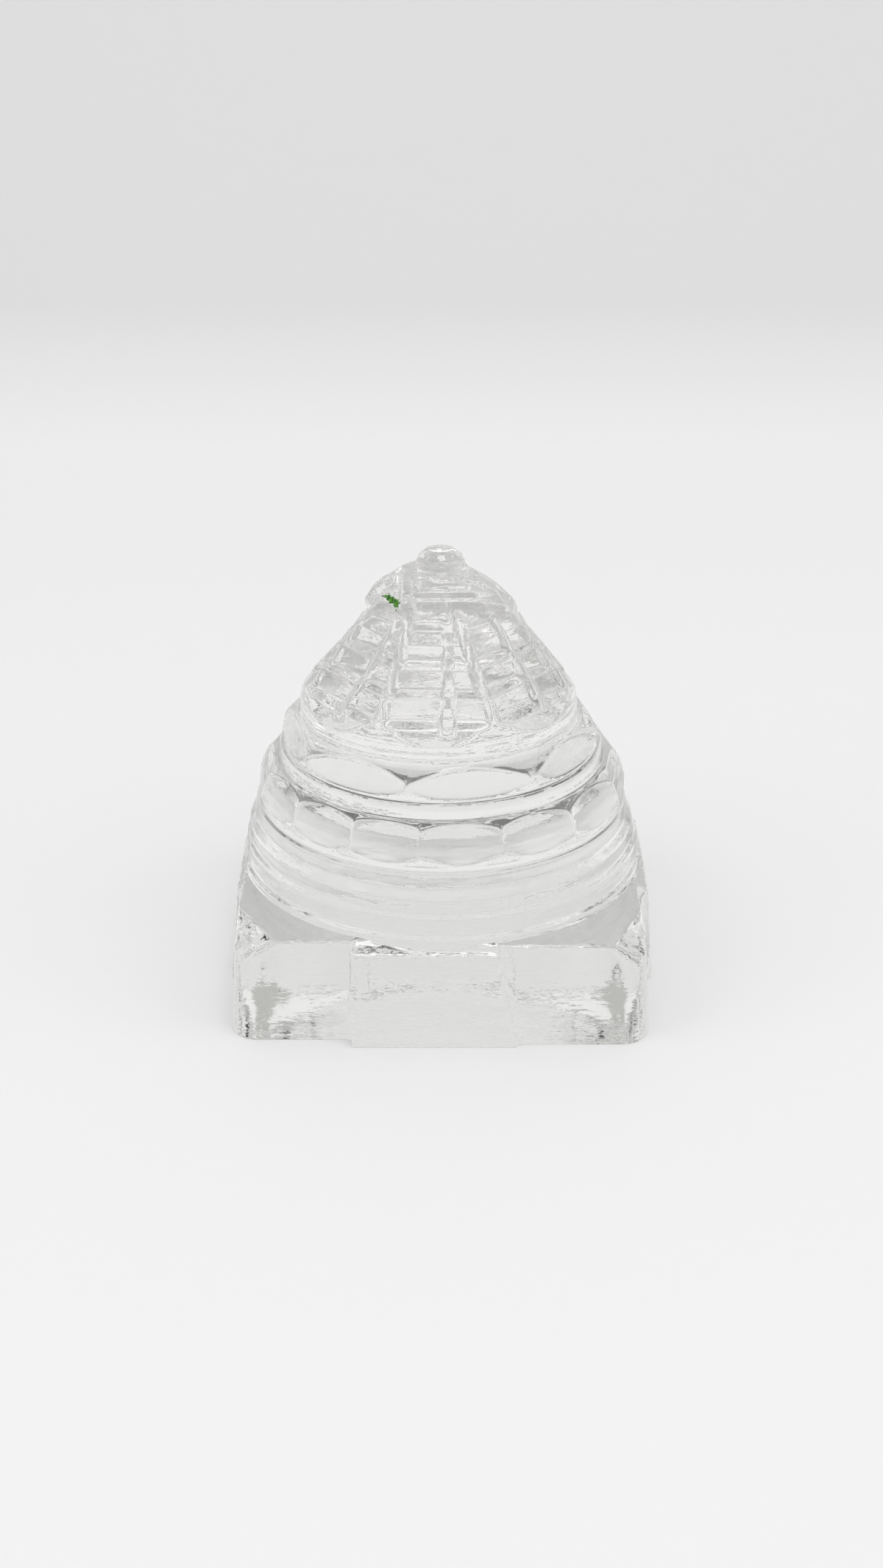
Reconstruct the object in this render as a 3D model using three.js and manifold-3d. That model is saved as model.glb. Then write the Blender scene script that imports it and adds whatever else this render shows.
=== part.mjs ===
// Shri yantra of clear pressed glass, in millimetres, +Z up, standing on Z = 0 with its front to -Y.
// It is one solid moulding, so it is one mesh: a square base with four gates, three ring steps,
// a belt of sixteen petals, a belt of eight petals, a seven-sided terraced pyramid with fourteen
// ribs, a cap and the round bindu on top.
import * as THREE from 'three';
import { mergeVertices } from 'three/addons/utils/BufferGeometryUtils.js';
import Module from 'manifold-3d';

const wasm = await Module();
wasm.setup();

// Square base (bhupura). The right half of the front wall stands further forward than the left half.
const WALL_FOOT = { left: 23.7, right: 23.6, front: 23.35, frontRight: 24.3, back: 23.65 };
const WALL_DRAFT = 0.7;
const BASE_HEIGHT = 12.35;
const FOOT_BEVEL = 0.7;
const FOOT_BEVEL_INSET = 0.4;
const WALL_CORNER_RADIUS = 2.5;

// The four gates stand proud of the walls; their tops slope down to a lip.
const GATE_FOOT = 25;
const GATE_LIP = 24.4;
const GATE_LIP_HEIGHT = 11.45;
const GATE_ROOT = 20;
const GATE_TOP_SLOPE = 0.4;
const GATES = [
  { side: 0, left: 9.95, leftTop: 9.9, right: 8.65, rightTop: 6.4 },
  { side: 1, left: 10.1, leftTop: 9.6, right: 10.1, rightTop: 9.6 },
  { side: 2, left: 9.6, leftTop: 9.1, right: 9.6, rightTop: 9.1 },
  { side: 3, left: 10.1, leftTop: 9.6, right: 10.1, rightTop: 9.6 },
];

// Each upper corner of the base is cut off by a facet: a point on each wall's top edge and one below.
const CORNER_FACETS = [
  { front: [19, -23.6, 12.35], side: [22.9, -14.8, 12.35], corner: [22.95, -23.65, 9.6] },
  { front: [-18.2, -22.65, 12.35], side: [-23, -13.9, 12.35], corner: [-23.05, -22.7, 9.7] },
  { front: [19, 22.95, 12.35], side: [22.9, 14, 12.35], corner: [22.95, 22.95, 9.8] },
  { front: [-18.8, 22.95, 12.35], side: [-23, 13.8, 12.35], corner: [-23.05, 22.95, 9.8] },
];

// Outlines turned about the axis, as [radius, height] from the bottom up.
const TURN_STEPS = 72;
const RING_STEPS = [
  [24, 11.3], [24.3, 13.3], [24.1, 13.8], [23.4, 15.2], [23.4, 17], [23, 17.55],
  [22.4, 19], [22.4, 20.1], [22, 20.6], [21.6, 21.2], [21.6, 21.6],
];
const LOTUS_16 = [
  [21.5, 21], [21.6, 22.4], [21.4, 23.5], [20.9, 24.7], [20.15, 25.5], [19.4, 26],
];
const LOTUS_8 = [
  [19.25, 25.9], [19.25, 26.85], [18.75, 27.1], [18.8, 28.2], [18.6, 29.5], [16.9, 31],
];
const NECK_RINGS = [
  [16.8, 30.2], [16.7, 31.55], [16.4, 31.7], [16.35, 32.25], [16, 32.4], [15.95, 33.1],
];
const PYRAMID_LIMIT = [[15.95, 32], [15.95, 33.25], [15.2, 34.85], [15.2, 46]];
const BINDU = [
  [3.35, 46.8], [3.35, 48], [3.05, 48.35], [2.75, 48.5], [2.65, 49.05], [2.35, 49.7], [1.85, 50.2],
  [1.1, 50.5],
];
const BINDU_TOP = 50.55;

// Petals are flat facets that lean inwards: a many-sided pyramid trims each round belt.
const PETALS_16 = { count: 16, phase: -5.5, reach: 21.4, height: 21.35, lean: 0.43 };
const PETALS_8 = { count: 8, phase: -11, reach: 18.75, height: 27.8, lean: 0.8 };

// Terraces of the pyramid as [distance of the faces from the axis, height], foot to neck.
const TERRACES = [
  [15.9, 32.85], [14.6, 34.35], [13.3, 35.05], [12.45, 37.15], [11.2, 37.7], [10.55, 39.8], [9.35, 40.55],
  [8.8, 42.1], [7.6, 43.3], [7.4, 44.2], [6.2, 44.8],
];
// Its seven corners: direction in degrees from the front at the foot and at the neck, drop of the rib's end.
const CORNERS = [
  [-25.7, -26, 0], [25.7, 15, 0], [77.1, 72, 0.8], [128.6, 126, 1.3], [180, 180, 1.3], [231.4, 232, 1.2],
  [282.9, 286, 0.8],
];

// Ribs run up every corner and up the middle of every face. Feet and necks are [radius, height].
const RIB_FOOT = { corner: [16.1, 33.65], face: [15.15, 34.15] };
const RIB_NECK = { corner: [8.2, 44.8], face: [7.8, 44.1] };
const RIB_WIDTH = 1.7;
const RIB_CREST = 1;
const RIB_DEPTH = 2.4;
const FACE_RIBS = [
  [4, 5.5, 0], [55.4, 51.3, 0.3], [102.8, 99, 1], [154.3, 153, 1.2], [205.7, 206, 1.2], [257.1, 259, 1],
  [312, 321, 0],
];

// Cap: corners as [direction, radius, height] on four levels.
const CAP_DIRECTIONS = [-75, -27, 38, 66, 120, 180, 240];
const CAP_LEVELS = [
  { radii: [8.5, 7.8, 8.1, 8.9, 7.8, 8, 8.6], heights: [44, 45.2, 44.6, 43.5, 42.9, 43, 43.2] },
  { radii: [7.8, 7.2, 7.2, 8.1, 6.7, 7, 7.3], heights: [45.4, 46.4, 45.9, 44.6, 44, 44.2, 44.4] },
  { radii: [5.3, 6.2, 6, 5.3, 4.2, 4.5, 5], heights: [47, 47.4, 47.2, 46.9, 46.4, 46.6, 46.9] },
  { radii: [3.4, 3.4, 3.4, 3.4, 3.4, 3.4, 3.4], heights: [47.9, 47.9, 47.9, 47.9, 47.9, 47.9, 47.9] },
];
const BEAD = { x: 1.95, y: -3.2, z: 48, radius: 0.62 };
const FINISH = 0.01;

const GLASS = new THREE.MeshStandardMaterial({
  color: 0xe9edec, roughness: 0.04, metalness: 0, transparent: true, opacity: 0.45,
});

// A point at a direction in degrees from the front (-Y), turning towards +X.
function polar(direction, radius, height) {
  const angle = THREE.MathUtils.degToRad(direction);
  return new THREE.Vector3(radius * Math.sin(angle), -radius * Math.cos(angle), height);
}

// Closed geometry through stacked outlines with equal numbers of points, anticlockwise from above.
function loft(sections) {
  const count = sections[0].length;
  const positions = sections.flat().flatMap((p) => [p.x, p.y, p.z]);
  const index = [];
  for (let level = 0; level + 1 < sections.length; level++) {
    for (let i = 0; i < count; i++) {
      const next = (i + 1) % count;
      const [a, b] = [level * count + i, level * count + next];
      const [c, d] = [a + count, b + count];
      index.push(a, b, d, a, d, c);
    }
  }
  const top = (sections.length - 1) * count;
  for (let i = 1; i + 1 < count; i++) {
    index.push(0, i + 1, i);
    index.push(top, top + i, top + i + 1);
  }
  const geometry = new THREE.BufferGeometry();
  geometry.setAttribute('position', new THREE.Float32BufferAttribute(positions, 3));
  geometry.setIndex(index);
  return geometry;
}

function toSolid(geometry) {
  const plain = geometry.clone();
  plain.deleteAttribute('normal');
  plain.deleteAttribute('uv');
  const merged = mergeVertices(plain, 1e-4);
  return new wasm.Manifold(new wasm.Mesh({
    numProp: 3,
    vertProperties: new Float32Array(merged.attributes.position.array),
    triVerts: new Uint32Array(merged.index.array),
  }));
}

// The joined surface moves less than FINISH where short edges and slivers are dropped.
function toGeometry(solid) {
  const mesh = solid.simplify(FINISH).getMesh();
  const geometry = new THREE.BufferGeometry();
  geometry.setAttribute('position', new THREE.BufferAttribute(mesh.vertProperties, 3));
  geometry.setIndex(new THREE.BufferAttribute(mesh.triVerts, 1));
  geometry.computeVertexNormals();
  return geometry;
}

// Solid of revolution about Z through [radius, height] points, closed flat on the axis.
function turned(outline, steps = TURN_STEPS, topHeight = outline.at(-1)[1]) {
  const points = [[0, outline[0][1]], ...outline, [0, topHeight]];
  const geometry = new THREE.LatheGeometry(points.map(([r, z]) => new THREE.Vector2(r, z)), steps);
  return toSolid(geometry.rotateX(Math.PI / 2));
}

// Rectangle with rounded corners at one height, drawn in from its full reach by an inset.
function wallOutline({ left, right, front, back }, inset, height) {
  const arcSteps = 5;
  const points = [];
  const reach = WALL_CORNER_RADIUS + inset;
  [[right, back], [-left, back], [-left, -front], [right, -front]].forEach(([x, y], corner) => {
    for (let step = 0; step <= arcSteps; step++) {
      const angle = (corner + step / arcSteps) * (Math.PI / 2);
      points.push(new THREE.Vector3(
        x - Math.sign(x) * reach + WALL_CORNER_RADIUS * Math.cos(angle),
        y - Math.sign(y) * reach + WALL_CORNER_RADIUS * Math.sin(angle),
        height,
      ));
    }
  });
  return points;
}

// Half space beyond the plane through three points, as a large box, to cut a flat facet.
function halfSpace(a, b, c, outward) {
  const size = 60;
  const normal = new THREE.Plane().setFromCoplanarPoints(a, b, c).normal;
  if (normal.dot(outward) < 0) {
    normal.negate();
  }
  const box = new THREE.BoxGeometry(size, size, size).translate(0, 0, size / 2);
  box.applyQuaternion(new THREE.Quaternion().setFromUnitVectors(new THREE.Vector3(0, 0, 1), normal));
  return toSolid(box.translate(a.x, a.y, a.z));
}

function wall(reach) {
  return toSolid(loft([
    wallOutline(reach, FOOT_BEVEL_INSET, 0),
    wallOutline(reach, 0, FOOT_BEVEL),
    wallOutline(reach, WALL_DRAFT, BASE_HEIGHT),
  ]));
}

function wallBlock() {
  const { left, right, front, frontRight, back } = WALL_FOOT;
  const whole = wall({ left, right, front, back });
  const forwardHalf = wall({ left: 4, right, front: frontRight, back: 4 });
  return CORNER_FACETS.reduce((block, facet) => {
    const [a, b, c] = [facet.front, facet.side, facet.corner].map((point) => new THREE.Vector3(...point));
    return block.subtract(halfSpace(a, b, c, new THREE.Vector3(a.x, b.y, 10)));
  }, whole.add(forwardHalf));
}

function gateBlock({ side, left, leftTop, right, rightTop }) {
  const outline = (leftEdge, rightEdge, reach, frontHeight, rootHeight) => [
    new THREE.Vector3(-leftEdge, -reach, frontHeight),
    new THREE.Vector3(rightEdge, -reach, frontHeight),
    new THREE.Vector3(rightEdge, -GATE_ROOT, rootHeight),
    new THREE.Vector3(-leftEdge, -GATE_ROOT, rootHeight),
  ];
  const rootTop = GATE_LIP_HEIGHT + GATE_TOP_SLOPE * (GATE_LIP - GATE_ROOT);
  const inset = FOOT_BEVEL_INSET;
  const block = loft([
    outline(left - inset, right - inset, GATE_FOOT - inset, 0, 0),
    outline(left, right, GATE_FOOT, FOOT_BEVEL, FOOT_BEVEL),
    outline(leftTop, rightTop, GATE_LIP, GATE_LIP_HEIGHT, rootTop),
  ]);
  return toSolid(block.rotateZ(side * (Math.PI / 2)));
}

// Round belt trimmed to petals by a many-sided pyramid whose faces lie reach from the axis at height.
function petalBelt(outline, { count, phase, reach, height, lean }) {
  const [low, high] = [outline[0][1] - 1, outline.at(-1)[1] + 1];
  const corners = [low, high].map((z) => {
    const radius = (reach - lean * (z - height)) / Math.cos(Math.PI / count);
    return Array.from({ length: count }, (_, i) => polar(phase + (i * 360) / count, radius, z));
  });
  return turned(outline).intersect(toSolid(loft(corners)));
}

function cornerDirections(height) {
  const [low, high] = [TERRACES[0][1], TERRACES.at(-1)[1]];
  const share = (height - low) / (high - low);
  return CORNERS.map(([foot, neck]) => THREE.MathUtils.lerp(foot, neck, share));
}

function terracedPyramid() {
  const sections = TERRACES.map(([reach, z]) => {
    const radius = reach / Math.cos(Math.PI / CORNERS.length);
    return cornerDirections(z).map((direction) => polar(direction, radius, z));
  });
  return toSolid(loft(sections)).intersect(turned(PYRAMID_LIMIT));
}

// Sloping bar with a narrower crest, lying on the pyramid from its foot to its neck.
function rib([footDirection, neckDirection, drop], kind) {
  const foot = polar(footDirection, ...RIB_FOOT[kind]);
  const neck = polar(neckDirection, RIB_NECK[kind][0], RIB_NECK[kind][1] - drop);
  const along = neck.clone().sub(foot);
  const across = polar(footDirection + 90, 1, 0);
  const outward = new THREE.Vector3().crossVectors(across, along).normalize();
  across.crossVectors(along, outward).normalize();
  const section = (centre) => [
    [RIB_CREST, 0], [RIB_WIDTH, -RIB_DEPTH], [-RIB_WIDTH, -RIB_DEPTH], [-RIB_CREST, 0],
  ].map(([sideways, depth]) => centre.clone()
    .addScaledVector(across, sideways / 2)
    .addScaledVector(outward, depth));
  return toSolid(loft([section(foot), section(neck)]));
}

function ribs() {
  const corner = CORNERS.map((entry) => rib(entry, 'corner'));
  const face = FACE_RIBS.map((entry) => rib(entry, 'face'));
  return [...corner, ...face].reduce((all, one) => all.add(one));
}

function cap() {
  return toSolid(loft(CAP_LEVELS.map(({ radii, heights }) => (
    CAP_DIRECTIONS.map((direction, i) => polar(direction, radii[i], heights[i]))
  ))));
}

function bindu() {
  const bead = new THREE.SphereGeometry(BEAD.radius, 12, 8).translate(BEAD.x, BEAD.y, BEAD.z);
  return turned(BINDU, 32, BINDU_TOP).add(toSolid(bead));
}

const pyramid = terracedPyramid().add(ribs()).intersect(turned(PYRAMID_LIMIT));
const body = [
  wallBlock(),
  ...GATES.map(gateBlock),
  turned(RING_STEPS),
  petalBelt(LOTUS_16, PETALS_16),
  petalBelt(LOTUS_8, PETALS_8),
  turned(NECK_RINGS),
  pyramid,
  cap(),
  bindu(),
].reduce((all, one) => all.add(one));

const yantra = new THREE.Mesh(toGeometry(body), GLASS);
yantra.name = 'yantra_body';

const object = new THREE.Group();
object.add(yantra);
export default object;
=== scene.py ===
import math

import bpy
import numpy as np
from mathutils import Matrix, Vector


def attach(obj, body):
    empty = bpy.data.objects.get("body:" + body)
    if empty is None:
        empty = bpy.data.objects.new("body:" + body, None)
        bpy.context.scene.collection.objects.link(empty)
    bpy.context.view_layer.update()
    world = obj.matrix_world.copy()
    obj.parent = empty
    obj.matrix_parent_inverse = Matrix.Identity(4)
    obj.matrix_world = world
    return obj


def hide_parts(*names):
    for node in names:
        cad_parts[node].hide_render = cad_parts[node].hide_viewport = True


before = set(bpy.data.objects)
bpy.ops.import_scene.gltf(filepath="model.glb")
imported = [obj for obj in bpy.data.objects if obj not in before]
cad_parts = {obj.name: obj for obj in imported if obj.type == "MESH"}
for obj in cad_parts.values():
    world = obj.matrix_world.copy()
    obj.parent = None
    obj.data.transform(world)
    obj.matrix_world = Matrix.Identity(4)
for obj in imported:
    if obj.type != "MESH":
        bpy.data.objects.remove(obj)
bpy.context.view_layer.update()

# Lengths of the object are in millimetres until its mesh is made, those of the room in metres.
# Directions are in degrees from the front (-Y) towards +X.
MM = 0.001
TURN = 360.0

# Square base. The right half of the front wall stands further forward than the left half.
WALL_LEFT, WALL_RIGHT, WALL_FRONT, WALL_FRONT_RIGHT, WALL_BACK = 23.7, 23.6, 23.35, 24.3, 23.65
# How far the forward half reaches to the left of the axis and behind it.
FORWARD_REACH = 4
WALL_DRAFT = 0.7
BASE_HEIGHT = 12.35
FOOT_BEVEL = 0.75
FOOT_BEVEL_INSET = 0.5
WALL_CORNER_RADIUS = 3.2
EDGE_ROUNDING = 0.35
FACET_ROUNDING = 0.2
# Small dents along the worn upper edges of the base.
CHIP_DEPTH = 0.18
CHIP_REACH = 0.4

# Gates: side number, reach at foot and lip, half widths (left foot, left top, right foot, right top).
GATES = [
    (0, 24.95, 24.35, 9.95, 9.9, 8.65, 6.4),
    (1, 24.95, 24.25, 10.1, 9.6, 10.1, 9.6),
    (2, 24.95, 24.35, 9.6, 9.1, 9.6, 9.1),
    (3, 24.6, 23.75, 10.1, 9.6, 10.1, 9.6),
]
GATE_LIP_HEIGHT = 11.45
GATE_TOP_SLOPE = 0.4
GATE_ROOT = 17.0
# About where the walls stand beside the gates.
WALL_AT_GATE = 23.3
GATE_ROUNDING = 0.3
GATE_FILLET = 0.25

# Facets across the base's upper corners, each through three points.
CORNER_FACETS = [
    ((19, -23.6, 12.35), (22.9, -14.8, 12.35), (22.95, -23.65, 9.6)),
    ((-18.2, -22.65, 12.35), (-23, -13.9, 12.35), (-23.05, -22.7, 9.7)),
    ((19, 22.95, 12.35), (22.9, 14, 12.35), (22.95, 22.95, 9.8)),
    ((-18.8, 22.95, 12.35), (-23, 13.8, 12.35), (-23.05, 22.95, 9.8)),
]

# Outline of the round tiers as (radius, height), from the foot of the lowest ring to the pyramid's disc.
TIERS = [
    (23.55, 5), (23.68, 12.9), (23.25, 13.45), (23.15, 15.27), (22.7, 15.95), (22.62, 17.35), (21.92, 18.55),
    (21.74, 20), (21.42, 20.3), (21.4, 20.7), (21.5, 20.9), (21.38, 21.09), (21.6, 21.73), (21.85, 22.5),
    (21.7, 23.3), (21.1, 24.2), (20.2, 24.95), (19.4, 25.45), (18.95, 25.55), (18.9, 26.3), (18.7, 27.05),
    (18.15, 27.2), (18.2, 27.45), (18.45, 28), (18.5, 28.5), (18.3, 29.05), (17.85, 29.45), (17.3, 29.85),
    (16.6, 30.4), (16.2, 30.85), (16.0, 31.25), (15.92, 31.35), (15.92, 31.8), (16.05, 31.95), (15.85, 32.1),
    (15.85, 32.6), (15.95, 32.85), (15, 32.95), (6, 33.0), (-4, 33.1),
]
# How far the tiers' centre lies to the right of the axis at each height.
TIER_CENTRE = [
    (0.16, 12), (0.16, 15), (0.06, 17), (0.05, 19.3), (0.15, 21), (0.15, 25.5), (0, 27.5), (0, 30),
    (-0.25, 32), (-0.25, 34), (0, 38),
]
TIER_ROUNDING = 0.12
TIER_FILLET = 0.2

# Petals: directions of the cusps between them, reach of their middles from the axis at each height, and how
# much further the middle stands out than a flat facet would.
CUSPS_16 = [-75, -51, -28, -6.8, 18.5, 43.4, 70, 92.5, 113.8, 135, 156.3, 177.5, 198.8, 220, 241.3, 263]
PETAL_16 = [
    (40, 18.5), (23.5, 20.6), (21.36, 21.05), (21.36, 21.7), (20.98, 23.1), (20.5, 24.2), (19.85, 25.05),
    (19.4, 25.45), (21.5, 25.9),
]
CROWN_16 = 0.12
CUSPS_8 = [-100, -55, -12, 33, 83, 127, 171, 215.5]
PETAL_8 = [(40, 24.5), (19.8, 26.9), (18.2, 27.45), (17.2, 29.3), (16.48, 30.5), (16.4, 30.9), (18, 31.5)]
CROWN_8 = 0.44
PETAL_ROUNDING = 0.3
# Fine raised line around each petal.
RIDGE_WIDTH = 0.13
RIDGE_HEIGHT = 0.09

# Terraces of the seven-sided pyramid as (distance of the faces from the axis, height).
TERRACES = [
    (15.9, 32.85), (14.6, 34.35), (13.3, 35.05), (12.45, 37.15), (11.2, 37.7), (10.55, 39.8), (9.35, 40.55),
    (8.8, 42.1), (7.6, 43.3), (7.4, 44.2), (5.5, 45), (-4, 45.1),
]
TERRACE_ROUNDING = 0.14
PYRAMID_FILLET = 0.15
# A round limit that takes off the corners of its lowest steps.
PYRAMID_LIMIT = [(15.95, 31), (15.95, 33.25), (15.2, 34.85), (15.2, 46)]
LIMIT_ROUNDING = 0.2
LIMIT_FILLET = 0.15
# Its corners: direction at the foot and at the neck, drop of the rib's upper end.
CORNERS = [
    (-25.7, -26, 0), (25.7, 15, 0), (77.1, 72, 0.8), (128.6, 126, 1.3), (180, 180, 1.3), (231.4, 232, 1.2),
    (282.9, 286, 0.8),
]
FACE_RIBS = [
    (4, 5.5, 0), (55.4, 51.3, 0.3), (102.8, 99, 1), (154.3, 153, 1.2), (205.7, 206, 1.2), (257.1, 259, 1),
    (312, 321, 0),
]
# Ribs at the corners and up the faces: crest at the foot and at the neck as (radius, height).
CORNER_RIB = ((16.1, 33.65), (8.2, 44.8))
FACE_RIB = ((15.15, 34.15), (7.8, 44.1))
# Half widths of a rib's crest and of the strip of columns around it.
RIB_CREST = 0.5
RIB_FLANK = 0.85
RIB_SLOPE = 3.0
RIB_FILLET = 0.45
RIB_ROUND = 0.8
RIB_FLARE = 0.35
RIB_FLARE_HEIGHT = 1.3
# Slope that closes a form beyond its ends.
END_SLOPE = 3

# Cap: corners on each level as (radius, height); the turns between its faces are rounded.
CAP_DIRECTIONS = [-97, -65, -27, 38, 66, 95, 120, 180, 225]
CAP_LEVELS = [
    (
        (8.9, 43.5), (8.7, 43.9), (7.8, 45.1), (8.1, 44.6), (8.8, 43.3),
        (9.0, 42.8), (8.4, 42.8), (8, 43), (8.7, 43.2),
    ),
    (
        (8.75, 44.0), (8.5, 44.4), (7.6, 45.4), (7.8, 45.0), (8.65, 43.9),
        (8.8, 43.4), (7.9, 43.4), (7.6, 43.6), (8.3, 43.7),
    ),
    (
        (8.3, 44.7), (8.0, 45.1), (7.25, 46.3), (7.3, 45.95), (8.1, 44.75),
        (8.3, 44.2), (7.2, 44), (7, 44.2), (7.7, 44.4),
    ),
    (
        (7.8, 45.5), (7.5, 45.7), (6.75, 46.45), (6.8, 46.2), (7.3, 45.5),
        (7.5, 45.0), (6.5, 45), (6.3, 45.2), (7, 45.3),
    ),
    (
        (6.8, 46.45), (6.6, 46.5), (6.45, 47.05), (6.2, 46.8), (6.4, 46.3),
        (6.5, 45.9), (5.7, 46), (5.5, 46.1), (6.1, 46.2),
    ),
    (
        (5.6, 47.15), (5.5, 47.2), (5.3, 47.35), (5.2, 47.1), (5.3, 46.95),
        (5.3, 46.8), (4.7, 46.7), (4.5, 46.7), (5.1, 46.9),
    ),
    (
        (4.4, 48.0), (4.4, 48.0), (3.6, 47.8), (3.4, 47.7), (3.9, 47.6),
        (4.1, 47.5), (3.6, 47.5), (3.4, 47.6), (3.9, 47.8),
    ),
]
CAP_TURN = 4.0
CAP_FILLET = 0.15
CAP_TOP_SLOPE = 6
# Ridge that carries the left front rib on over the cap: place across, then (depth, height) of both ends.
CAP_RIDGE = (-3.72, (-7.2, 46.35), (-1.4, 48.5))
CAP_RIDGE_WIDTH = 0.5
CAP_RIDGE_SLOPE = 0.8
CAP_RIDGE_FLANK = 1.6
CAP_RIDGE_DEPTH = 1.5
CAP_RIDGE_FILLET = 0.12
# Dome on top as (radius, height), and the bead beside it as (across, depth, height, radius).
BINDU = [
    (3.3, 46.3), (3.3, 47.75), (3.1, 48.1), (2.72, 48.25), (2.8, 48.75), (2.58, 48.95), (2.5, 49.4),
    (1.75, 50.0), (1.3, 50.17), (-0.4, 50.3), (-2.0, 50.4),
]
BINDU_ROUNDING = 0.1
BINDU_FILLET = 0.12
BEAD = (2.15, -3.6, 47.85, 0.72)

# Slow unevenness of the surface: size in mm, turns across, in depth and up in radians per mm, and phase.
WAVES = [
    (0.020, 0.31, 0.23, 0.17, 0.4), (0.016, -0.27, 0.41, 0.29, 1.9), (0.012, 0.63, -0.37, 0.45, 3.1),
    (0.008, 0.9, 0.77, -0.81, 4.4), (0.006, -1.31, 1.17, 1.07, 0.9), (0.004, 2.1, -1.9, 1.7, 2.2),
]
# Height over which it grows from nothing at the flat foot.
WAVE_RISE = 1.5

# Green crumbs: where they stick, their distance from the axis and how far out the glass is searched for,
# then each one's place across and up and its size.
CRUMB_DIRECTION = -46.6
CRUMB_START = 38.35
CRUMB_REACH = 4
CRUMB_SEARCH = 30.0
CRUMB_SCALE = 1.35
CRUMBS = [
    (-0.85, 0.35, 0.2), (-0.6, 0.55, 0.22), (-0.5, 0.2, 0.26), (-0.25, 0.5, 0.24), (-0.15, 0.15, 0.28),
    (0.1, 0.42, 0.24), (0.2, 0.05, 0.26), (0.45, 0.3, 0.22), (0.5, -0.15, 0.24), (0.3, -0.4, 0.2),
    (0.65, -0.5, 0.17), (0.5, -0.85, 0.15), (0.85, -0.2, 0.14), (0.8, -0.75, 0.12), (-0.75, 0.95, 0.08),
    (-1.05, 0.1, 0.1),
]

# Camera, fitted to the photograph.
CAMERA_TARGET = (0.134, 0.0, 20.71)
CAMERA_DISTANCE = 246.9
CAMERA_ELEVATION = 26.0
CAMERA_LENS = 47.8
SENSOR_WIDTH = 36

# Glass, and the stretch, scale per metre and depth in metres of its flow lines and its fine grain.
GLASS_COLOR = (0.992, 0.991, 0.982, 1)
GLASS_IOR = 1.5
SURFACE_NOISE = [((1, 1, 5), 450, 0.000028), ((1, 1, 1), 3500, 0.0000007)]
SHARP_ANGLE = 38
# Part of the light that passes through to the floor, and tint of light reflected more often than the depth.
SHADOW_TINT = (0.46, 0.46, 0.46, 1)
LATE_TINT = (0.82, 0.82, 0.81, 1)
LATE_DEPTH = 2.5

# Lamps: name, place, size in metres, power in watts.
LAMPS = [
    ("top_softbox", (0.05, -0.1, 0.7), (0.26, 0.26), 1.2),
    ("left_softbox", (-0.6, -0.25, 0.4), (0.5, 0.8), 1.0),
    ("right_softbox", (0.65, -0.2, 0.35), (0.5, 0.8), 0.8),
]
LAMP_AIM = (0, 0, 0.02)
# World: plain light for dull surfaces, and the room that the glass and the camera see. Its brightness is the
# product of one value by height and one by depth, at places from 0 (below, in front) to 1 (above, behind).
WORLD_LIGHT = 0.62
ROOM_HEIGHT = ((0.0, 0.02), (0.68, 0.02), (0.75, 1.15), (0.88, 1.15), (0.93, 0.25), (1.0, 0.12))
ROOM_DEPTH = ((0.0, 0.78), (0.22, 0.78), (0.28, 0.08), (0.46, 0.08), (0.54, 0.8), (1.0, 0.8))

# Floor and backdrop in metres: colours, the backdrop's being greyer as painted shade, heights between which
# one turns into the other, and the film of air between the floor and the glass.
FLOOR_COLOR = (0.885, 0.885, 0.885, 1)
BACKDROP_SHADE_COLOR = (0.755, 0.755, 0.755, 1)
SWEEP_CHANGE = (0.003, 0.02)
AIR_GAP = 0.00006
FLOOR_FRONT = -1.2
FLOOR_BACK = 0.16
FLOOR_HALF_WIDTH = 1.6
SWEEP_RADIUS = 0.22
SWEEP_STEPS = 12
BACKDROP_TOP = 0.45

# Mesh: columns in all, columns on the front, and how far the front reaches to either side in degrees.
COLUMNS = 360
FRONT_COLUMNS = 254
FRONT_SPREAD = 100.0
# Degrees between the columns beside a cusp.
CUSP_COLUMN = 0.32
# Radius beyond the whole glass, from which its surface is searched for.
FAR = 40.0
# Rows over each rounded corner of an outline, and how many of the outline's points have them.
CORNER_ROWS = 3
KEYED_POINTS = 10
# Rows up the walls as (height, rows), how far below and beside the upper edge the next two lie, and where the
# line of the first row on the ring steps leaves the axis.
WALL_ROWS = ((4, 4), (9, 5))
BELOW_EDGE = 0.35
BESIDE_EDGE = 0.3
RING_START = -12.1
# Rows on the belts of sixteen and of eight petals as (radius, height, rows).
BELT_16_ROWS = [
    (21.45, 20.95, 4), (21.4, 21.6, 5), (21.4, 22.5, 4), (21.1, 23.4, 5), (20.4, 24.4, 7), (19.8, 25.0, 5),
    (19.35, 25.5, 4), (18.95, 25.6, 3),
]
BELT_8_ROWS = [
    (18.9, 26.3, 2), (18.65, 27.08, 3), (18.2, 27.25, 3), (18.2, 27.6, 3), (18.1, 28.3, 4), (17.7, 29.2, 6),
    (17.1, 29.9, 7), (16.5, 30.5, 6), (16.05, 31.2, 5), (15.92, 31.8, 3), (16.0, 32.0, 2), (15.85, 32.5, 2),
    (15.95, 32.85, 3), (15.9, 33.2, 3),
]
# Where the ribs are marked on the cap and where the last row lies as (radius, height), and the rows that
# resolve the bead.
CAP_MARK = (8.0, 43.6)
LAST_ROW = (0.4, 50.25)
BEAD_ROWS = 9


def smooth_min(a, b, k):
    h = np.maximum(k - np.abs(a - b), 0) / k
    return np.minimum(a, b) - h * h * k / 4


def smooth_max(a, b, k):
    return -smooth_min(-a, -b, k)


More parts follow.
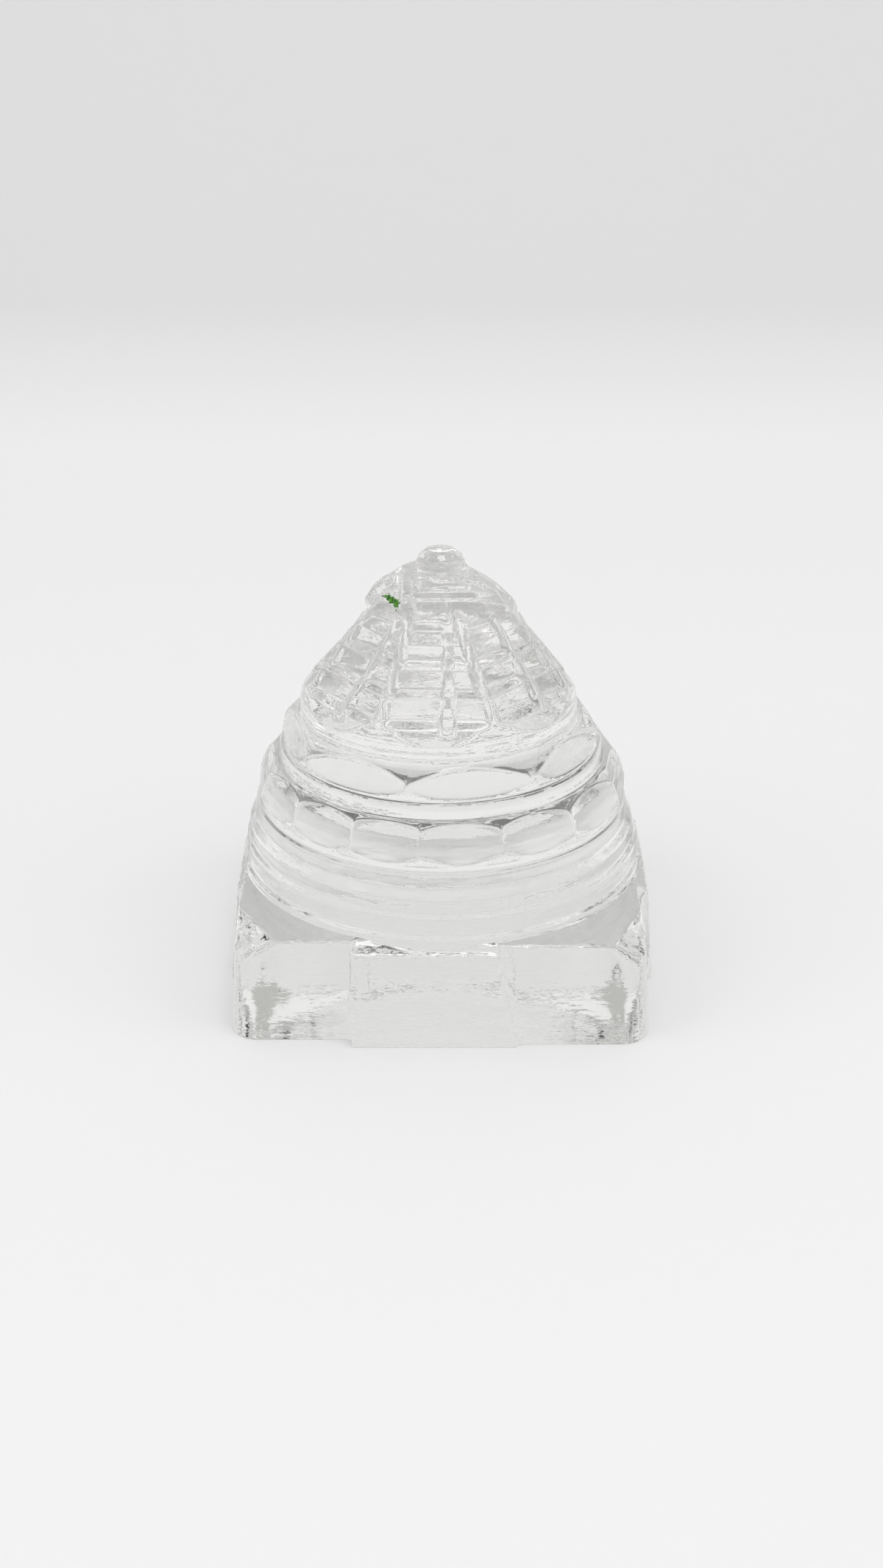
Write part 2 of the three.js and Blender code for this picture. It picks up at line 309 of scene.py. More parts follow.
def rounded(points, cut, steps=4):
    """Outline of (radius, height) points whose inner corners are turned by small curves."""
    points = [np.array(p, float) for p in points]
    out = [points[0]]
    for before, corner, after in zip(points, points[1:], points[2:]):
        a, b = before - corner, after - corner
        reach = min(cut, 0.45 * np.linalg.norm(a), 0.45 * np.linalg.norm(b))
        start = corner + a / np.linalg.norm(a) * reach
        end = corner + b / np.linalg.norm(b) * reach
        for s in np.linspace(0, 1, steps):
            out.append((1 - s) ** 2 * start + 2 * s * (1 - s) * corner + s * s * end)
    out.append(points[-1])
    return np.array(out)


def outline_radius(outline, z):
    return np.interp(z, outline[:, 1], outline[:, 0])


def wrapped(angle):
    """Angle in degrees between -180 and 180."""
    return (angle + 180) % TURN - 180


TIER_OUTLINE = rounded(TIERS, TIER_ROUNDING, 5)
PETAL_16_OUTLINE = rounded(PETAL_16, PETAL_ROUNDING)
PETAL_8_OUTLINE = rounded(PETAL_8, PETAL_ROUNDING)
TERRACE_OUTLINE = rounded(TERRACES, TERRACE_ROUNDING, 5)
LIMIT_OUTLINE = rounded(PYRAMID_LIMIT, LIMIT_ROUNDING)
BINDU_OUTLINE = rounded(BINDU, BINDU_ROUNDING)


def foot_inset(z):
    """How far the rounded foot stands back at these heights."""
    up = np.clip(1 - z / FOOT_BEVEL, 0, 1)
    return FOOT_BEVEL_INSET * (1 - np.sqrt(np.maximum(1 - up * up, 0)))


def wall_distance(x, y, z, front, left, right, back):
    """Distance outside a rectangle with rounded corners, drafted walls and a rounded foot."""
    inset = foot_inset(z) + WALL_DRAFT * np.clip((z - FOOT_BEVEL) / (BASE_HEIGHT - FOOT_BEVEL), 0, 1.2)
    cx, cy = (right - left) / 2, (back - front) / 2
    hx = (right + left) / 2 - inset - WALL_CORNER_RADIUS
    hy = (back + front) / 2 - inset - WALL_CORNER_RADIUS
    dx, dy = np.abs(x - cx) - hx, np.abs(y - cy) - hy
    outside = np.hypot(np.maximum(dx, 0), np.maximum(dy, 0)) + np.minimum(np.maximum(dx, dy), 0)
    return outside - WALL_CORNER_RADIUS


def plane_through(points, outward):
    a, b, c = (np.array(p, float) for p in points)
    normal = np.cross(b - a, c - a)
    normal /= np.linalg.norm(normal)
    if np.dot(normal, outward) < 0:
        normal = -normal
    return normal, float(np.dot(normal, a))


FACET_PLANES = [plane_through(p, (p[0][0], p[1][1], 10)) for p in CORNER_FACETS]


def chips(x, y, z, *distances):
    """Dents where all these distances from an edge's faces are small."""
    dents = np.sin(4.1 * x + 1.3 * y) * np.sin(3.3 * y - 2.2 * x + 4 * z)
    dents = dents + 0.6 * np.sin(7.3 * x - 6.1 * y + 5 * z)
    apart = sum(distance * distance for distance in distances)
    return CHIP_DEPTH * np.clip(dents, 0, 1) * np.exp(-apart / CHIP_REACH ** 2)


def base_field(x, y, z):
    """Below zero inside the walls and gates."""
    whole = wall_distance(x, y, z, WALL_FRONT, WALL_LEFT, WALL_RIGHT, WALL_BACK)
    forward = wall_distance(x, y, z, WALL_FRONT_RIGHT, FORWARD_REACH, WALL_RIGHT, FORWARD_REACH)
    walls = np.minimum(whole, forward)
    worn = chips(x, y, z, walls, z - BASE_HEIGHT)
    walls = smooth_max(walls, z - BASE_HEIGHT, EDGE_ROUNDING) + worn
    for normal, offset in FACET_PLANES:
        beyond = x * normal[0] + y * normal[1] + z * normal[2] - offset
        walls = smooth_max(walls, beyond, FACET_ROUNDING)
    field = walls
    for side, foot, lip, left, left_top, right, right_top in GATES:
        turn = math.radians(side * 90)
        along = x * math.cos(turn) + y * math.sin(turn)
        out = x * math.sin(turn) - y * math.cos(turn)
        inset = foot_inset(z)
        share = np.clip((z - FOOT_BEVEL) / (GATE_LIP_HEIGHT - FOOT_BEVEL), 0, 1.1)
        front = out - (foot + (lip - foot) * share - inset)
        west = -along - (left + (left_top - left) * share - inset)
        east = along - (right + (right_top - right) * share - inset)
        top = z - (GATE_LIP_HEIGHT + GATE_TOP_SLOPE * (lip - out))
        sides = np.maximum(west, east)
        worn = chips(x, y, z, np.maximum(front, sides), top)
        block = smooth_max(smooth_max(front, sides, GATE_ROUNDING), top, EDGE_ROUNDING) + worn
        block = np.maximum(block, GATE_ROOT - out)
        field = smooth_min(field, block, GATE_FILLET)
    return field


def place_between(directions, knots):
    """The knots closed into a full turn, the directions counted from the first, and the knot before each."""
    closed = np.array(knots + [knots[0] + TURN], float)
    turned = (directions - closed[0]) % TURN + closed[0]
    before = np.clip(np.searchsorted(closed, turned, side="right") - 1, 0, len(knots) - 1)
    return closed, turned, before


def petal_field(direction, r, z, cusps, outline, crown):
    """Leaning facets between the cusps, a little crowned, that meet in a fine ridge."""
    knots, turned, which = place_between(direction, cusps)
    middle = (knots[which] + knots[which + 1]) / 2
    half = (knots[which + 1] - knots[which]) / 2
    offset = turned - middle
    reach = outline_radius(outline, z) - crown * (offset / half) ** 2
    beside = np.radians(half - np.abs(offset)) * r / RIDGE_WIDTH
    return r * np.cos(np.radians(offset)) - reach - RIDGE_HEIGHT * np.exp(-beside * beside)


def cut_petals(tiers, petals):
    """The tiers cut by the petals, with a fine raised line around each petal."""
    apart = (tiers - petals) / RIDGE_WIDTH
    return np.maximum(tiers, petals) - RIDGE_HEIGHT * np.exp(-apart * apart)


def corner_directions(z):
    low, high = TERRACES[0][1], TERRACES[-1][1]
    share = np.clip((z - low) / (high - low), 0, 1)
    return [foot + (neck - foot) * share for foot, neck, _ in CORNERS]


def heptagon_radius(direction, z, reach):
    """Radius of the seven-sided outline whose faces lie about reach from the axis."""
    corners = corner_directions(z)
    corner_radius = reach / math.cos(math.pi / len(CORNERS))
    result = np.zeros(np.broadcast(direction, z).shape)
    for first, second in zip(corners, corners[1:] + [corners[0] + TURN]):
        middle, half = (first + second) / 2, (second - first) / 2
        offset = wrapped(direction - middle)
        inside = np.abs(offset) <= half + 0.01
        radius = corner_radius * np.cos(np.radians(half)) / np.cos(np.radians(np.clip(offset, -40, 40)))
        result = np.where(inside, radius, result)
    return result


def rib_places(z):
    """For every rib: its direction and crest radius at these heights, and the heights of both its ends."""
    places = []
    for ribs, (foot, neck) in ((CORNERS, CORNER_RIB), (FACE_RIBS, FACE_RIB)):
        for first, last, drop in ribs:
            top = neck[1] - drop
            share = (z - foot[1]) / (top - foot[1])
            radius = foot[0] + (neck[0] - foot[0]) * share
            places.append((first + (last - first) * np.clip(share, 0, 1), radius, foot[1], top))
    return places


def pyramid_field(direction, r, z):
    """Below zero inside the terraces and ribs."""
    field = r - heptagon_radius(direction, z, outline_radius(TERRACE_OUTLINE, z))
    for centre, crest, low, high in rib_places(z):
        across = np.radians(wrapped(direction - centre))
        sideways = np.abs(r * np.sin(across))
        outward = np.where(np.cos(across) > 0, r * np.cos(across), 99)
        crest_width = RIB_CREST + RIB_FLARE * np.exp(-np.maximum(z - low, 0) / RIB_FLARE_HEIGHT)
        flank = RIB_SLOPE * np.maximum(sideways - crest_width, 0)
        flank = flank + RIB_ROUND * (sideways * RIB_CREST / crest_width) ** 2
        ends = np.maximum(low - z, 0) * END_SLOPE + np.maximum(z - high, 0) * END_SLOPE
        rib = outward - crest + flank + ends
        field = smooth_min(field, rib, RIB_FILLET)
    return smooth_max(field, r - outline_radius(LIMIT_OUTLINE, z), LIMIT_FILLET)


def cap_tables():
    """For every level, radius and height at each whole degree, with the corners rounded."""
    even = np.arange(TURN)
    knots, turned, which = place_between(even, CAP_DIRECTIONS)
    first, second = np.radians(turned - knots[which]), np.radians(knots[which + 1] - turned)
    spread = wrapped(even)
    weight = np.exp(-0.5 * (spread / CAP_TURN) ** 2)
    weight = np.fft.fft(weight / weight.sum())
    tables = []
    for level in CAP_LEVELS:
        radii, heights = np.array(level + (level[0],)).T
        a, b = radii[which], radii[which + 1]
        share = a * np.sin(first) / (a * np.sin(first) + b * np.sin(second))
        radius = a * np.cos(first) * (1 - share) + b * np.cos(second) * share
        height = heights[which] + (heights[which + 1] - heights[which]) * share
        tables.append([np.real(np.fft.ifft(np.fft.fft(v) * weight)) for v in (radius, height)])
    return tables


CAP_TABLES = cap_tables()


def cap_profile(direction):
    """Radius and height of the cap's levels in each direction."""
    even = np.arange(TURN + 1)
    around = direction % TURN
    return [tuple(np.interp(around, even, np.append(v, v[0])) for v in table) for table in CAP_TABLES]


def cap_field(direction, r, z):
    """Below zero inside the cap and its ridge."""
    nodes = cap_profile(direction)
    radius, first_height = nodes[0]
    for (r0, z0), (r1, z1) in zip(nodes, nodes[1:]):
        share = np.clip((z - z0) / (z1 - z0), 0, 1)
        radius = np.where(z > z0, r0 + (r1 - r0) * share, radius)
    last_radius, last_height = nodes[-1]
    radius = np.where(z > last_height, last_radius - CAP_TOP_SLOPE * (z - last_height), radius)
    cap = r - radius + np.maximum(first_height - z, 0) * END_SLOPE
    angle = np.radians(direction)
    x, y = r * np.sin(angle), -r * np.cos(angle)
    across, (y0, z0), (y1, z1) = CAP_RIDGE
    crest = z0 + (z1 - z0) * (y - y0) / (y1 - y0)
    ends = np.maximum(y0 - y, 0) + np.maximum(y - y1, 0)
    beside = np.maximum(np.abs(x - across) - CAP_RIDGE_WIDTH, 0)
    ridge = (z - crest) * CAP_RIDGE_SLOPE + CAP_RIDGE_FLANK * beside + END_SLOPE * ends
    ridge = np.maximum(ridge, crest - CAP_RIDGE_DEPTH - z)
    return smooth_min(cap, ridge, CAP_RIDGE_FILLET)


def waves(x, y, z):
    """Slow unevenness of a pressed surface, up to a few hundredths of a millimetre."""
    total = np.zeros(np.broadcast(x, y, z).shape)
    for size, fx, fy, fz, shift in WAVES:
        total = total + size * np.sin(fx * x + fy * y + fz * z + shift)
    return total


def body_field(direction, r, z):
    """Below zero inside the glass. Points are given by direction, radius and height."""
    angle = np.radians(direction)
    x, y = r * np.sin(angle), -r * np.cos(angle)
    shifts, heights = zip(*TIER_CENTRE)
    beside = x - np.interp(z, heights, shifts)
    tier_r = np.hypot(beside, y)
    tier_direction = np.degrees(np.arctan2(beside, -y))
    tiers = tier_r - outline_radius(TIER_OUTLINE, z)
    for belt in ((CUSPS_16, PETAL_16_OUTLINE, CROWN_16), (CUSPS_8, PETAL_8_OUTLINE, CROWN_8)):
        tiers = cut_petals(tiers, petal_field(tier_direction, tier_r, z, *belt))
    field = smooth_min(base_field(x, y, z), tiers, TIER_FILLET)
    field = smooth_min(field, pyramid_field(tier_direction, tier_r, z), PYRAMID_FILLET)
    field = smooth_min(field, cap_field(direction, r, z), CAP_FILLET)
    bindu = r - outline_radius(BINDU_OUTLINE, z) + np.maximum(BINDU[0][1] - z, 0) * END_SLOPE
    field = smooth_min(field, bindu, BINDU_FILLET)
    across, depth, up, radius = BEAD
    bead = np.sqrt((x - across) ** 2 + (y - depth) ** 2 + (z - up) ** 2) - radius
    field = smooth_min(field, bead, BINDU_FILLET)
    return field + waves(x, y, z) * np.clip(z / WAVE_RISE, 0, 1)


def furthest(field, low, high, steps=26):
    """Where the field along each line crosses zero, by halving."""
    low, high = np.array(low, float), np.array(high, float)
    for _ in range(steps):
        middle = (low + high) / 2
        inside = field(middle) < 0
        low, high = np.where(inside, middle, low), np.where(inside, high, middle)
    return (low + high) / 2


def base_reach(direction, z):
    """Distance of the base's surface from the axis in each direction at this height."""
    angle = np.radians(direction)
    sine, cosine = np.sin(angle), np.cos(angle)
    low, high = np.zeros_like(direction), np.full_like(direction, FAR)
    return furthest(lambda r: base_field(r * sine, -r * cosine, z), low, high)


def even_columns():
    """Directions of the columns, closer together on the front than on the back."""
    front = np.linspace(-FRONT_SPREAD, FRONT_SPREAD, FRONT_COLUMNS, endpoint=False)
    back = np.linspace(FRONT_SPREAD, TURN - FRONT_SPREAD, COLUMNS - FRONT_COLUMNS, endpoint=False)
    return np.concatenate((front, back))


EVEN = even_columns()


def columns_through(marks):
    """Directions of all columns, some moved. A mark is (direction, columns to the right, new direction)."""
    index = np.arange(COLUMNS)
    moved = {}
    for near, beside, target in marks:
        nearest = int(np.argmin(np.abs(wrapped(EVEN - near))))
        column = (nearest + beside) % COLUMNS
        moved.setdefault(column, EVEN[column] + wrapped(target - EVEN[column]))
    at = np.array(sorted(moved))
    to = np.array([moved[i] for i in at])
    at = np.concatenate((at - COLUMNS, at, at + COLUMNS))
    to = np.concatenate((to - TURN, to, to + TURN))
    three_turns = np.concatenate((EVEN - TURN, EVEN, EVEN + TURN))
    shift = to - np.interp(at, np.arange(-COLUMNS, 2 * COLUMNS), three_turns)
    return EVEN + np.interp(index, at, shift)


def rib_marks(height, radius):
    """Column marks at both edges of every rib's crest and flanks."""
    marks = []
    means = [(first + last) / 2 for first, last, _ in CORNERS + FACE_RIBS]
    for mean, (centre, _, _, _) in zip(means, rib_places(height)):
        for width, columns in ((RIB_CREST, 2), (RIB_FLANK, 4)):
            spread = math.degrees(math.asin(min(width / radius, 0.9)))
            for side in (-1, 1):
                marks.append((mean, side * columns, float(centre) + side * spread))
    return marks


def gate_marks():
    """Column marks at both sides of every gate, out at its front and in at the wall."""
    marks = []
    for side, foot, lip, left, left_top, right, right_top in GATES:
        for edge, top in ((-left, -left_top), (right, right_top)):
            mean = (edge + top) / 2
            outer = math.degrees(math.atan2(mean, (foot + lip) / 2))
            inner = math.degrees(math.atan2(mean, WALL_AT_GATE))
            marks.append((side * 90 + outer, 0, side * 90 + outer))
            marks.append((side * 90 + outer, int(math.copysign(2, mean)), side * 90 + inner))
    return marks


def corner_points(outline, rounding):
    """Numbered points at the start, middle and end of each rounded corner."""
    return enumerate(rounded(outline[:KEYED_POINTS], rounding, CORNER_ROWS)[1:-1])


def build_rows():
    """Start heights on the axis and directions, one line of columns per row, from the foot up."""
    base_columns = columns_through(gate_marks())
    belt_16, belt_8 = (
        columns_through([(cusp, n, cusp + n * CUSP_COLUMN) for cusp in cusps for n in (0, -1, 1, -2, 2)])
        for cusps in (CUSPS_16, CUSPS_8)
    )
    keys = []

    def key(start, columns, rows):
        start = np.broadcast_to(np.asarray(start, float), (COLUMNS,)).copy()
        if keys:
            start = np.maximum(start, keys[-1][0] + 0.02 * rows)
        keys.append((start, columns, rows))

    def reach(z):
        return base_reach(base_columns, np.full(COLUMNS, float(z)))

    def level(z):
        return z - reach(z)

    in_gate = np.zeros(COLUMNS, bool)
    for side, _, lip, _, left_top, _, right_top in GATES:
        offset = wrapped(base_columns - side * 90)
        west, east = math.degrees(math.atan2(-left_top, lip)), math.degrees(math.atan2(right_top, lip))
        in_gate |= (offset > west - 0.1) & (offset < east + 0.1)
    key(level(0), base_columns, 0)
    key(level(FOOT_BEVEL), base_columns, 4)
    for height, rows in WALL_ROWS:
        key(level(height), base_columns, rows)
    edge = np.where(in_gate, GATE_LIP_HEIGHT, BASE_HEIGHT)
    rim = np.where(in_gate, reach(GATE_LIP_HEIGHT - BESIDE_EDGE), reach(BASE_HEIGHT - BESIDE_EDGE))
    lower = np.where(in_gate, level(GATE_LIP_HEIGHT - BELOW_EDGE), level(BASE_HEIGHT - BELOW_EDGE))
    key(lower, base_columns, 4)
    key(edge - rim + BESIDE_EDGE, base_columns, 4)
    key(RING_START, base_columns, 7)
    for number, (radius, height) in corner_points(TIERS, TIER_ROUNDING):
        key(height - radius, base_columns, 1 if number % CORNER_ROWS else 3)
    for belt, belt_rows in ((belt_16, BELT_16_ROWS), (belt_8, BELT_8_ROWS)):
        for radius, height, rows in belt_rows:
            key(height - radius, belt, rows)
    for number, (distance, height) in corner_points(TERRACES, TERRACE_ROUNDING):
        columns = columns_through(rib_marks(height, distance))
        start = height - heptagon_radius(columns, np.full(COLUMNS, height), distance)
        key(start, columns, 1 if number % CORNER_ROWS else 4)
    columns = columns_through(rib_marks(CAP_MARK[1], CAP_MARK[0]))
    levels = [height - radius for radius, height in cap_profile(columns)]
    key(levels[0], columns, 4)
    for below, above in zip(levels, levels[1:]):
        key(below + (above - below) * 0.1, columns, 1)
        key(below + (above - below) * 0.9, columns, 3)
    for number, (radius, height) in corner_points(BINDU, BINDU_ROUNDING):
        rows = 1 if number % CORNER_ROWS else 2
        key(height - radius, columns, rows if number else BEAD_ROWS)
    key(LAST_ROW[1] - LAST_ROW[0], columns, 3)
    starts, directions = [keys[0][0]], [keys[0][1]]
    for (start0, columns0, _), (start1, columns1, rows) in zip(keys, keys[1:]):
        for i in range(1, rows + 1):
            share = i / rows
            starts.append(start0 + (start1 - start0) * share)
            directions.append(columns0 + (columns1 - columns0) * share)
    return np.array(starts), np.array(directions)


def body_mesh():
    """Closed mesh whose points lie on lines that leave the axis outwards and upwards at 45 degrees."""
    starts, directions = build_rows()
    low, high = np.zeros_like(starts), np.full_like(starts, FAR)
    radius = furthest(lambda t: body_field(directions, t, starts + t), low, high)
    height = starts + radius
    height[0] = 0.0
    angle = np.radians(directions)
    points = np.stack([radius * np.sin(angle), -radius * np.cos(angle), height], axis=-1)
    rows = len(starts)
    top = np.array([[0.0, 0.0, float(height[-1].mean()) + 0.004]])
    vertices = np.concatenate([points.reshape(-1, 3), top]) * MM
    faces = []
    for row in range(rows - 1):
        for column in range(COLUMNS):
            after = (column + 1) % COLUMNS
            a, b = row * COLUMNS + column, row * COLUMNS + after
            faces.append((a, b, b + COLUMNS, a + COLUMNS))
    last = (rows - 1) * COLUMNS
    for column in range(COLUMNS):
        faces.append((last + column, last + (column + 1) % COLUMNS, rows * COLUMNS))
    faces.append(tuple(reversed(range(COLUMNS))))
    mesh = bpy.data.meshes.new("yantra_glass")
    mesh.from_pydata(vertices.tolist(), [], faces)
    mesh.update()
    return mesh


def node_of(tree, kind, **values):
    node = tree.nodes.new(kind)
    for name, value in values.items():
        setattr(node, name, value)
    return node


def glass_material():
    material = bpy.data.materials.new("clear_pressed_glass")
    material.use_nodes = True
    tree = material.node_tree
    tree.nodes.clear()
    out = node_of(tree, "ShaderNodeOutputMaterial")
    glass = node_of(tree, "ShaderNodeBsdfPrincipled")
    glass.inputs["Base Color"].default_value = GLASS_COLOR
    glass.inputs["Roughness"].default_value = 0.0
    glass.inputs["IOR"].default_value = GLASS_IOR
    glass.inputs["Transmission Weight"].default_value = 1.0
    clear = node_of(tree, "ShaderNodeBsdfTransparent")
    clear.inputs["Color"].default_value = SHADOW_TINT
    path = node_of(tree, "ShaderNodeLightPath")
    mix = node_of(tree, "ShaderNodeMixShader")
    place = node_of(tree, "ShaderNodeTexCoord")
    for spread, scale, depth in SURFACE_NOISE:
        stretch = node_of(tree, "ShaderNodeMapping")
        stretch.inputs["Scale"].default_value = spread
        noise = node_of(tree, "ShaderNodeTexNoise")
        noise.inputs["Scale"].default_value = scale
        noise.inputs["Detail"].default_value = 2.0
        bump = node_of(tree, "ShaderNodeBump")
        bump.inputs["Strength"].default_value = 1.0
        bump.inputs["Distance"].default_value = depth
        tree.links.new(place.outputs["Object"], stretch.inputs["Vector"])
        tree.links.new(stretch.outputs["Vector"], noise.inputs["Vector"])
        tree.links.new(noise.outputs["Fac"], bump.inputs["Height"])
        if glass.inputs["Normal"].is_linked:
            tree.links.new(glass.inputs["Normal"].links[0].from_socket, bump.inputs["Normal"])
        tree.links.new(bump.outputs["Normal"], glass.inputs["Normal"])
    tree.links.new(path.outputs["Is Shadow Ray"], mix.inputs[0])
    tree.links.new(glass.outputs[0], mix.inputs[1])
    tree.links.new(clear.outputs[0], mix.inputs[2])
    # Light that has been thrown back and forth inside goes straight out and doesn't end in black.
    straight = node_of(tree, "ShaderNodeBsdfTransparent")
    straight.inputs["Color"].default_value = LATE_TINT
    late = node_of(tree, "ShaderNodeMath", operation="GREATER_THAN")
    late.inputs[1].default_value = LATE_DEPTH
    leave = node_of(tree, "ShaderNodeMixShader")
    tree.links.new(path.outputs["Glossy Depth"], late.inputs[0])
    tree.links.new(late.outputs[0], leave.inputs[0])
    tree.links.new(mix.outputs[0], leave.inputs[1])
    tree.links.new(straight.outputs[0], leave.inputs[2])
    tree.links.new(leave.outputs[0], out.inputs["Surface"])
    return material


def add_body():
    piece = bpy.data.objects.new("yantra_glass", body_mesh())
    bpy.context.scene.collection.objects.link(piece)
    piece.data.shade_smooth()
    piece.data.set_sharp_from_angle(angle=math.radians(SHARP_ANGLE))
    piece.data.materials.append(glass_material())
    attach(piece, "root")
    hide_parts("yantra_body")


def surface_point(direction, start):
    """Point of the glass on the line that leaves the axis at this height."""
    directions = np.array([float(direction)])
    low, high = np.zeros(1), np.full(1, CRUMB_SEARCH)
    radius = furthest(lambda t: body_field(directions, t, start + t), low, high)[0]
    angle = math.radians(direction)
    return np.array([radius * math.sin(angle), -radius * math.cos(angle), start + radius])


def crumb_material():
    material = bpy.data.materials.new("green_residue")
    material.use_nodes = True
    tree = material.node_tree
    shader = tree.nodes["Principled BSDF"]
    place = node_of(tree, "ShaderNodeTexCoord")
    noise = node_of(tree, "ShaderNodeTexNoise")
    noise.inputs["Scale"].default_value = 2500
    ramp = node_of(tree, "ShaderNodeValToRGB")
    ramp.color_ramp.elements[0].position = 0.35
    ramp.color_ramp.elements[0].color = (0.02, 0.12, 0.01, 1)
    ramp.color_ramp.elements[1].position = 0.65
    ramp.color_ramp.elements[1].color = (0.12, 0.36, 0.04, 1)
    tree.links.new(place.outputs["Object"], noise.inputs["Vector"])
    tree.links.new(noise.outputs["Fac"], ramp.inputs[0])
    tree.links.new(ramp.outputs["Color"], shader.inputs["Base Color"])
    shader.inputs["Roughness"].default_value = 0.7
    return material


def add_crumbs():
    """Crumbs of green residue stuck to the left of the cap."""
    chance = np.random.default_rng(7)
    corners = np.array([(1, 0, 0), (-1, 0, 0), (0, 1, 0), (0, -1, 0), (0, 0, 1), (0, 0, -1)], float)
    octants = [(a, b, c) for a in (0, 1) for b in (2, 3) for c in (4, 5)]
    vertices, faces = [], []
    for across, up, size in CRUMBS:
        centre = surface_point(CRUMB_DIRECTION + math.degrees(across / CRUMB_REACH), CRUMB_START + up)
        first = len(vertices)
        turn = np.linalg.qr(chance.normal(size=(3, 3)))[0]
        shape = corners * chance.uniform(0.7, 1.2, (6, 1)) * size * CRUMB_SCALE
        vertices += [tuple((centre + turn @ corner) * MM) for corner in shape]
        flip = np.linalg.det(turn) < 0
        for a, b, c in octants:
            outward = np.linalg.det(np.array([corners[a], corners[b], corners[c]])) > 0
            face = (a, b, c) if outward != flip else (a, c, b)
            faces.append(tuple(first + i for i in face))
    mesh = bpy.data.meshes.new("green_crumbs")
    mesh.from_pydata(vertices, [], faces)
    piece = bpy.data.objects.new("green_crumbs", mesh)
    bpy.context.scene.collection.objects.link(piece)
    mesh.materials.append(crumb_material())
    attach(piece, "root")


def add_stage():
    """Pale floor that curves up into a backdrop painted slightly greyer as shade, with a thin film of air
    under the glass.
    """
    depth_points = [(FLOOR_FRONT, -AIR_GAP), (FLOOR_BACK, -AIR_GAP)]
    for i in range(1, SWEEP_STEPS + 1):
        a = i / SWEEP_STEPS * math.pi / 2
        rise = SWEEP_RADIUS * (1 - math.cos(a))
        depth_points.append((FLOOR_BACK + SWEEP_RADIUS * math.sin(a), rise - AIR_GAP))
    depth_points.append((FLOOR_BACK + SWEEP_RADIUS, BACKDROP_TOP))
    vertices, faces = [], []
    for y, z in depth_points:
        vertices += [(-FLOOR_HALF_WIDTH, y, z), (FLOOR_HALF_WIDTH, y, z)]
    for i in range(len(depth_points) - 1):
        faces.append((2 * i, 2 * i + 1, 2 * i + 3, 2 * i + 2))
    mesh = bpy.data.meshes.new("floor")
    mesh.from_pydata(vertices, [], faces)
    mesh.shade_smooth()
    floor = bpy.data.objects.new("floor", mesh)
    bpy.context.scene.collection.objects.link(floor)
    material = bpy.data.materials.new("pale_floor")
    material.use_nodes = True
    tree = material.node_tree
    shader = tree.nodes["Principled BSDF"]
    shader.inputs["Roughness"].default_value = 1.0
    shader.inputs["Specular IOR Level"].default_value = 0.0
    place = node_of(tree, "ShaderNodeTexCoord")
    split = node_of(tree, "ShaderNodeSeparateXYZ")
    share = node_of(tree, "ShaderNodeMapRange")
    share.inputs["From Min"].default_value, share.inputs["From Max"].default_value = SWEEP_CHANGE
    mix = node_of(tree, "ShaderNodeMix", data_type="RGBA")
    mix.inputs[6].default_value = FLOOR_COLOR
    # The backdrop is painted greyer than the floor, as painted shade where less light reaches it.
    mix.inputs[7].default_value = BACKDROP_SHADE_COLOR
    tree.links.new(place.outputs["Object"], split.inputs[0])
    tree.links.new(split.outputs["Z"], share.inputs["Value"])
    tree.links.new(share.outputs["Result"], mix.inputs[0])
    tree.links.new(mix.outputs[2], shader.inputs["Base Color"])
    mesh.materials.append(material)


def add_light(name, place, size, power):
    light = bpy.data.lights.new(name, "AREA")
    light.shape = "RECTANGLE"
    light.size, light.size_y = size
    light.energy = power
    lamp = bpy.data.objects.new(name, light)
    bpy.context.scene.collection.objects.link(lamp)
    lamp.location = place
    direction = Vector(LAMP_AIM) - Vector(place)
    lamp.rotation_euler = direction.to_track_quat("-Z", "Y").to_euler()


def add_ramp(tree, value, stops):
    """Grey by place, where the value runs from -1 to 1 and the places from 0 to 1."""
    ramp = node_of(tree, "ShaderNodeValToRGB")
    elements = ramp.color_ramp.elements
    for element, (position, level) in zip(elements, (stops[0], stops[-1])):
        element.position = position
        element.color = (level, level, level, 1)
    for position, level in stops[1:-1]:
        elements.new(position).color = (level, level, level, 1)
    half = node_of(tree, "ShaderNodeMath", operation="MULTIPLY_ADD")
    half.inputs[1].default_value = 0.5
    half.inputs[2].default_value = 0.5
    tree.links.new(value, half.inputs[0])
    tree.links.new(half.outputs[0], ramp.inputs[0])
    return ramp.outputs["Color"]


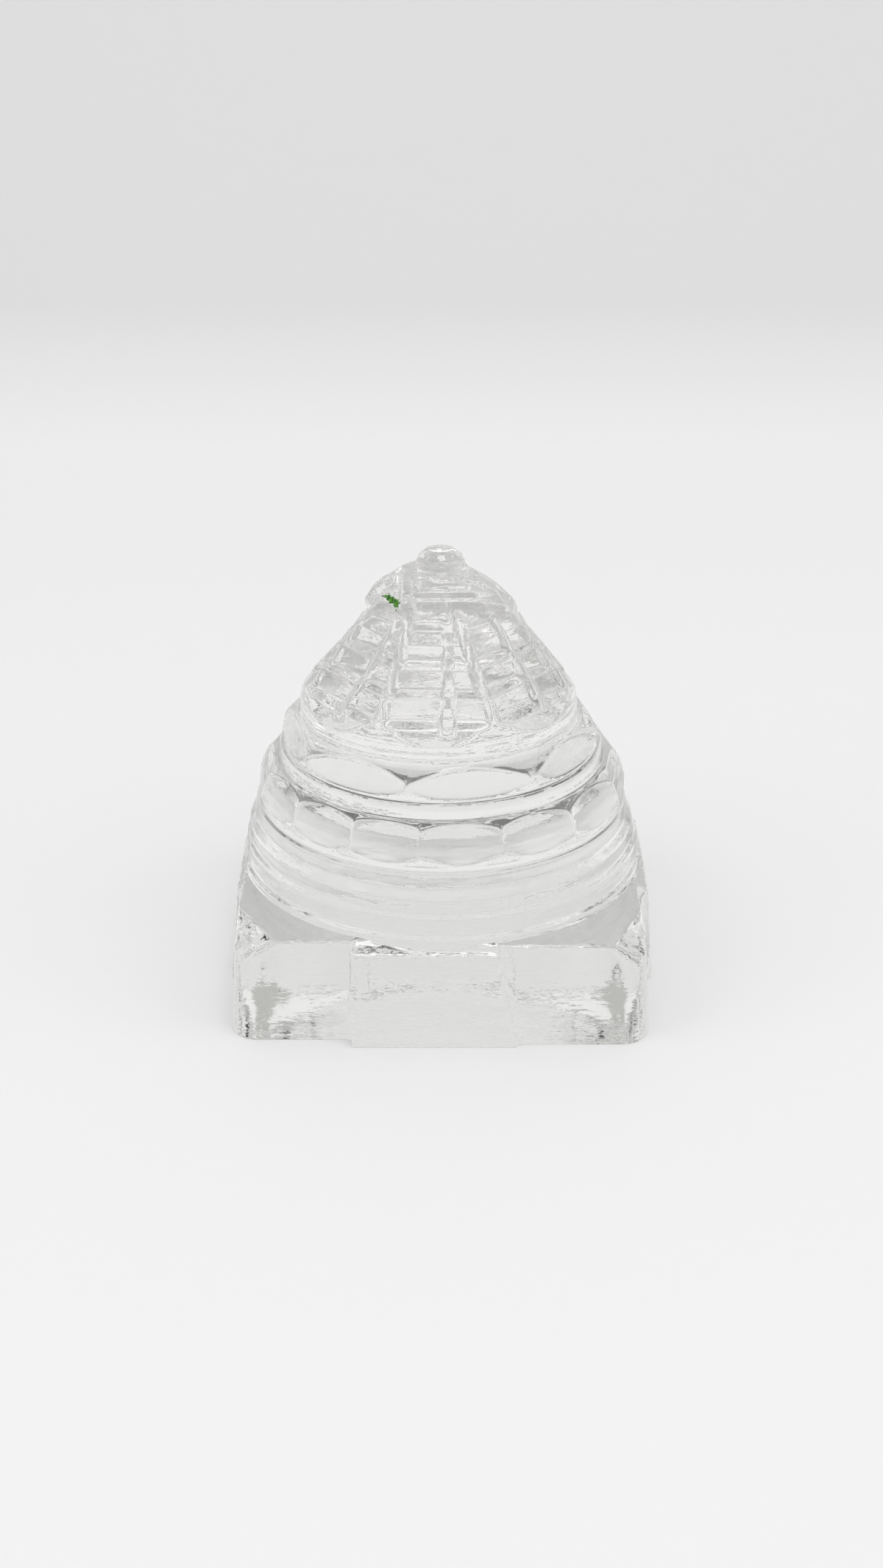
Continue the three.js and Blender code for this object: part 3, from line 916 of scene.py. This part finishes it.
def add_world():
    """Plain even light for dull surfaces, and a dark room with bright bands that shows in the glass."""
    world = bpy.data.worlds.new("studio")
    world.use_nodes = True
    tree = world.node_tree
    plain = tree.nodes["Background"]
    plain.inputs["Color"].default_value = (1, 1, 1, 1)
    plain.inputs["Strength"].default_value = WORLD_LIGHT
    place = node_of(tree, "ShaderNodeTexCoord")
    split = node_of(tree, "ShaderNodeSeparateXYZ")
    tree.links.new(place.outputs["Generated"], split.inputs[0])
    both = node_of(tree, "ShaderNodeMix", data_type="RGBA", blend_type="MULTIPLY")
    both.inputs[0].default_value = 1.0
    tree.links.new(add_ramp(tree, split.outputs["Z"], ROOM_HEIGHT), both.inputs[6])
    tree.links.new(add_ramp(tree, split.outputs["Y"], ROOM_DEPTH), both.inputs[7])
    room = node_of(tree, "ShaderNodeBackground")
    tree.links.new(both.outputs[2], room.inputs["Color"])
    path = node_of(tree, "ShaderNodeLightPath")
    mix = node_of(tree, "ShaderNodeMixShader")
    tree.links.new(path.outputs["Is Diffuse Ray"], mix.inputs[0])
    tree.links.new(room.outputs[0], mix.inputs[1])
    tree.links.new(plain.outputs[0], mix.inputs[2])
    tree.links.new(mix.outputs[0], tree.nodes["World Output"].inputs["Surface"])
    bpy.context.scene.world = world


def add_lights():
    for name, place, size, power in LAMPS:
        add_light(name, place, size, power)


def add_camera():
    camera_data = bpy.data.cameras.new("camera")
    camera_data.lens = CAMERA_LENS
    camera_data.sensor_width = SENSOR_WIDTH
    camera = bpy.data.objects.new("camera", camera_data)
    bpy.context.scene.collection.objects.link(camera)
    tilt = math.radians(CAMERA_ELEVATION)
    back = Vector((0, -math.cos(tilt), math.sin(tilt)))
    camera.location = (Vector(CAMERA_TARGET) + back * CAMERA_DISTANCE) * MM
    camera.rotation_mode = "QUATERNION"
    camera.rotation_quaternion = (-back).to_track_quat("-Z", "Y")
    camera_data.clip_start = 0.01
    camera_data.clip_end = 20
    bpy.context.scene.camera = camera


add_body()
add_crumbs()
add_stage()
add_lights()
add_world()
add_camera()
bpy.context.scene.view_settings.view_transform = "Standard"
